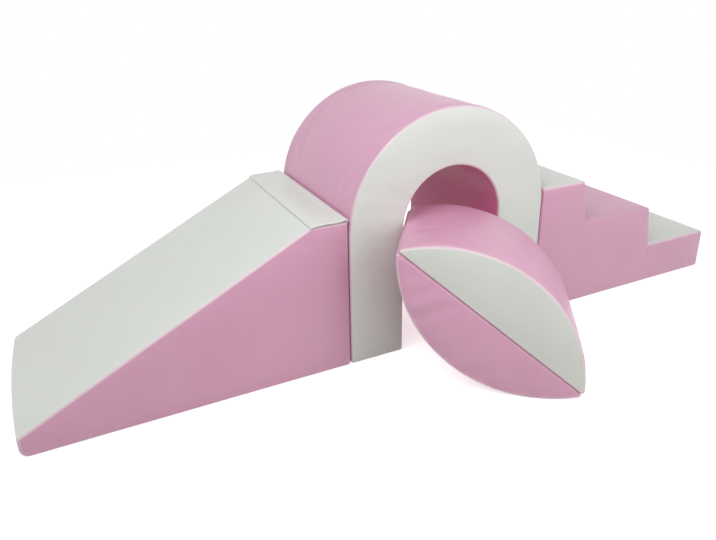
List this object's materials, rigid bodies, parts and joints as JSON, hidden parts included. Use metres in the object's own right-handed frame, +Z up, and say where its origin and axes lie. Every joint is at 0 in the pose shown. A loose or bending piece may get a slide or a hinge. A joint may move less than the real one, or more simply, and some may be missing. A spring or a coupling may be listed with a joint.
{
  "type": "soft play foam climber",
  "caption": "Soft play climbing set: foam slide, arched tunnel, foam steps and a rocker of two half moons, each with a sewn cover in white and pink.",
  "frame": {"origin": "middle of the whole set's footprint, on the floor", "axes": "+X runs along the set from the slide's nose to the lowest step, +Y points from the rocker in front to the back of the arch, +Z is up"},
  "size_m": [2.1196, 0.8854, 0.65],
  "materials": {
    "white_vinyl": "smooth white artificial leather with a soft sheen",
    "pink_vinyl": "smooth pink artificial leather with a soft sheen",
    "foam": "cut foam",
    "hook_tape": "stiff woven hook tape",
    "loop_tape": "soft brushed loop tape"
  },
  "bodies": {
    "arch": {"arch_foam_core": "foam", "arch_near_face": "white_vinyl", "arch_far_face": "white_vinyl", "arch_tunnel_lining": "pink_vinyl", "arch_outer_cover": "pink_vinyl", "arch_left_foot_cover": "pink_vinyl", "arch_right_foot_cover": "pink_vinyl", "arch_left_near_loop_strip": "loop_tape", "arch_left_far_loop_strip": "loop_tape", "arch_right_near_loop_strip": "loop_tape", "arch_right_far_loop_strip": "loop_tape"},
    "slide": {"slide_foam_core": "foam", "slide_near_face": "pink_vinyl", "slide_far_face": "pink_vinyl", "slide_base_cover": "pink_vinyl", "slide_back_cover": "pink_vinyl", "slide_landing_cover": "white_vinyl", "slide_slope_cover": "white_vinyl", "slide_nose_cover": "white_vinyl", "slide_near_hook_strip": "hook_tape", "slide_far_hook_strip": "hook_tape", "landing_loop_strip": "loop_tape"},
    "connecting_flap": {"connecting_flap": "white_vinyl", "flap_hook_strip": "hook_tape"},
    "steps": {"steps_foam_core": "foam", "steps_near_face": "pink_vinyl", "steps_far_face": "pink_vinyl", "steps_base_cover": "pink_vinyl", "steps_low_riser_cover": "pink_vinyl", "steps_low_tread_cover": "white_vinyl", "steps_middle_riser_cover": "pink_vinyl", "steps_middle_tread_cover": "pink_vinyl", "steps_top_riser_cover": "pink_vinyl", "steps_top_tread_cover": "white_vinyl", "steps_back_cover": "pink_vinyl", "steps_near_hook_strip": "hook_tape", "steps_far_hook_strip": "hook_tape"},
    "lower_half_moon": {"lower_half_moon_foam_core": "foam", "lower_half_moon_near_face": "pink_vinyl", "lower_half_moon_far_face": "pink_vinyl", "lower_half_moon_flat_cover": "pink_vinyl", "lower_half_moon_curved_cover": "pink_vinyl", "lower_half_moon_left_loop_strip": "loop_tape", "lower_half_moon_right_loop_strip": "loop_tape"},
    "upper_half_moon": {"upper_half_moon_foam_core": "foam", "upper_half_moon_near_face": "white_vinyl", "upper_half_moon_far_face": "white_vinyl", "upper_half_moon_flat_cover": "pink_vinyl", "upper_half_moon_curved_cover": "pink_vinyl", "upper_half_moon_left_hook_strip": "hook_tape", "upper_half_moon_right_hook_strip": "hook_tape"}
  },
  "joints": [
    {"name": "slide_pull_off", "type": "slide", "parent": "arch", "child": "slide", "axis": [-1, 0, 0], "range_m": [0, 0.3]},
    {"name": "steps_pull_off", "type": "slide", "parent": "arch", "child": "steps", "axis": [1, 0, 0], "range_m": [0, 0.3]},
    {"name": "flap_fold", "type": "hinge", "parent": "slide", "child": "connecting_flap", "pos_m": [-0.2813, 0.2012, 0.4038], "axis": [0, 1, 0], "range_deg": [0, 105]},
    {"name": "half_moons_rock", "type": "hinge", "parent": "arch", "child": "lower_half_moon", "pos_m": [0.05895, -0.38589, 0.35187], "axis": [0.5764, 0.8171, 0], "range_deg": [-76, 0]},
    {"name": "upper_half_moon_lift", "type": "slide", "parent": "lower_half_moon", "child": "upper_half_moon", "axis": [0.5031, -0.3549, 0.788], "range_m": [0, 0.12]}
  ]
}
